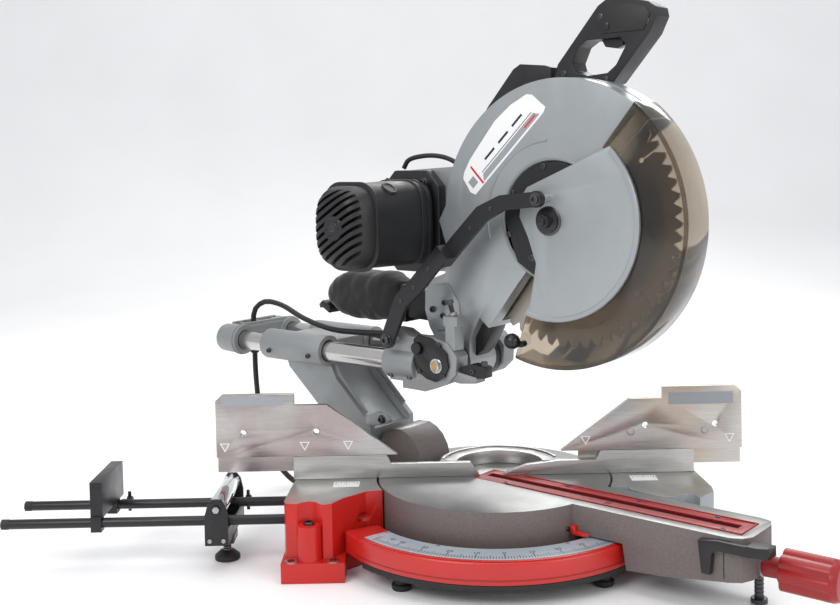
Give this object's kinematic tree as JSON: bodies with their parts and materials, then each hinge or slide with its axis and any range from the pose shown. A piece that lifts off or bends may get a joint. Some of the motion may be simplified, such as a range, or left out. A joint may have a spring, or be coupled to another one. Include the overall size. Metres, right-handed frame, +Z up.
{
  "type": "sliding miter saw",
  "caption": "Sliding compound miter saw with turntable, bevel arm on two rails, guarded circular blade, sliding fences and left work support.",
  "frame": {"origin": "centre of the bounding box of the machine without its free cord, on the bench", "axes": "+X to the right along the fence, +Y to the back, +Z up"},
  "size_m": [0.971, 0.6807, 0.687],
  "materials": {
    "red_paint": "glossy enamel",
    "red_plastic": "moulded, semi gloss",
    "taupe_paint": "hammered matt enamel",
    "silver_paint": "satin silver",
    "machined_aluminium": "machined, fine lines",
    "scale_plate": "printed degree marks",
    "black_plastic": "fine grained",
    "black_steel": "black powder coat",
    "bright_steel": "ground",
    "chrome": "polished",
    "rubber": "matt",
    "brass": "plain",
    "blade_steel": "ground and lacquered",
    "smoke_guard": "clear smoked",
    "black_fabric": "woven polyester"
  },
  "bodies": {
    "base": {"base_left_block": "red_paint", "base_right_wing": "silver_paint", "base_front_arc": "red_paint", "mitre_scale": "scale_plate", "base_pan": "silver_paint", "turntable_bolt": "bright_steel", "fixed_fence": "machined_aluminium"},
    "left_fence": {"left_sliding_fence": "machined_aluminium"},
    "right_fence": {"right_sliding_fence": "machined_aluminium"},
    "work_support": {"front_extension_rod": "black_steel", "rear_extension_rod": "black_steel", "roller_bracket": "black_steel"},
    "roller": {"support_roller": "chrome"},
    "support_leg": {"support_foot": "rubber"},
    "stop": {"stop_plate": "black_steel"},
    "turntable": {"turntable": "taupe_paint", "kerf_insert": "red_plastic", "mitre_pointer": "red_paint", "arm_foot_screw": "black_steel", "bevel_pivot_pin": "bright_steel"},
    "mitre_lock": {"mitre_lock_knob": "red_plastic", "mitre_lock_rod": "bright_steel"},
    "detent": {"detent_lever": "black_plastic"},
    "bevel_arm": {"bevel_arm": "silver_paint", "near_rail_bush": "brass", "far_rail_bush": "brass"},
    "bevel_lock": {"bevel_lock_lever": "black_steel"},
    "carriage": {"near_rail": "bright_steel", "far_rail": "bright_steel", "rear_rail_bracket": "silver_paint", "yoke": "silver_paint", "head_pivot_shaft": "brass", "pivot_cap_plate": "black_plastic", "supply_cable": "rubber", "cord_gland": "rubber", "mains_cord": "rubber", "cord_coil": "rubber", "plug": "rubber"},
    "head_lock": {"head_lock_pin": "black_plastic"},
    "link": {"guard_link": "black_steel"},
    "head": {"head_casting": "silver_paint", "bolt_cover": "black_steel", "belt_case": "silver_paint", "belt_cover": "black_plastic", "drive_belt": "rubber", "motor_flange": "silver_paint", "motor_housing": "black_plastic", "motor_end_cap": "black_plastic", "d_handle": "black_plastic", "carry_handle": "black_plastic", "dust_spout": "black_plastic", "dust_bag": "black_fabric"},
    "trigger": {"trigger": "black_plastic"},
    "motor_rotor": {"motor_shaft": "bright_steel"},
    "blade": {"arbor": "bright_steel", "saw_blade": "blade_steel"},
    "lower_guard": {"guard_rim": "smoke_guard", "guard_plate": "silver_paint", "guard_bolt": "black_steel", "guard_roller": "black_plastic"}
  },
  "joints": [
    {"name": "left_fence_slide", "type": "slide", "parent": "base", "child": "left_fence", "axis": [-1, 0, 0], "range_m": [-0.02, 0.06]},
    {"name": "right_fence_slide", "type": "slide", "parent": "base", "child": "right_fence", "axis": [1, 0, 0], "range_m": [0, 0.06]},
    {"name": "support_slide", "type": "slide", "parent": "base", "child": "work_support", "axis": [-1, 0, 0], "range_m": [-0.01, 0.05]},
    {"name": "roller_spin", "type": "hinge", "parent": "work_support", "child": "roller", "pos_m": [-0.21654, -0.04157, 0.0775], "axis": [0, 1, 0], "continuous": true},
    {"name": "support_leg_screw", "type": "slide", "parent": "work_support", "child": "support_leg", "axis": [0, 0, 1], "range_m": [0, 0.013]},
    {"name": "stop_slide", "type": "slide", "parent": "work_support", "child": "stop", "axis": [-1, 0, 0], "range_m": [-0.08, 0.06]},
    {"name": "mitre_turn", "type": "hinge", "parent": "base", "child": "turntable", "pos_m": [0.12846, -0.02557, 0.09], "axis": [0, 0, 1], "range_deg": [-100, 0]},
    {"name": "mitre_lock_turn", "type": "hinge", "parent": "turntable", "child": "mitre_lock", "pos_m": [0.43745, -0.27962, 0.053], "axis": [0.766, -0.6428, 0], "range_deg": [-90, 90]},
    {"name": "detent_lift", "type": "hinge", "parent": "turntable", "child": "detent", "pos_m": [0.34353, -0.26087, 0.08], "axis": [0.6428, 0.766, 0], "range_deg": [-5, 4], "stiffness_Nm_per_rad": 2},
    {"name": "bevel_tilt", "type": "hinge", "parent": "turntable", "child": "bevel_arm", "pos_m": [-0.01709, 0.09656, 0.09], "axis": [-0.766, 0.6428, 0], "range_deg": [-30, 0]},
    {"name": "bevel_lock_turn", "type": "hinge", "parent": "bevel_arm", "child": "bevel_lock", "pos_m": [-0.05259, 0.04802, 0.124], "axis": [-0.6428, -0.766, 0], "range_deg": [-20, 30]},
    {"name": "carriage_slide", "type": "slide", "parent": "bevel_arm", "child": "carriage", "axis": [0.766, -0.6428, 0], "range_m": [-0.11, 0.05]},
    {"name": "head_lock_pull", "type": "slide", "parent": "carriage", "child": "head_lock", "axis": [-0.6428, -0.766, 0], "range_m": [0, 0.01]},
    {"name": "head_chop", "type": "hinge", "parent": "carriage", "child": "head", "pos_m": [0.09935, -0.00115, 0.239], "axis": [0.6428, 0.766, 0], "range_deg": [0, 49], "stiffness_Nm_per_rad": 16, "springref_deg": -91.67},
    {"name": "link_swing", "type": "hinge", "parent": "carriage", "child": "link", "pos_m": [-0.0008, -0.00849, 0.267], "axis": [0.6428, 0.766, 0], "range_deg": [0, 40.5]},
    {"name": "lower_guard_open", "type": "hinge", "parent": "head", "child": "lower_guard", "pos_m": [0.1965, -0.12183, 0.424], "axis": [0.6428, 0.766, 0], "range_deg": [-104, 0]},
    {"name": "blade_spin", "type": "hinge", "parent": "head", "child": "blade", "pos_m": [0.21579, -0.09885, 0.424], "axis": [0.6428, 0.766, 0], "continuous": true},
    {"name": "motor_spin", "type": "hinge", "parent": "head", "child": "motor_rotor", "pos_m": [0.04419, 0.04513, 0.418], "axis": [0.6428, 0.766, 0], "continuous": true},
    {"name": "trigger_press", "type": "slide", "parent": "head", "child": "trigger", "axis": [0, 0, 1], "range_m": [0, 0.003], "stiffness_N_per_m": 400, "springref_m": -0.002}
  ],
  "couplings": [
    {"joint": "link_swing", "follows": "head_chop", "ratio": 0.8224},
    {"joint": "lower_guard_open", "follows": "head_chop", "ratio": -2.1},
    {"joint": "blade_spin", "follows": "motor_spin", "ratio": 1}
  ]
}
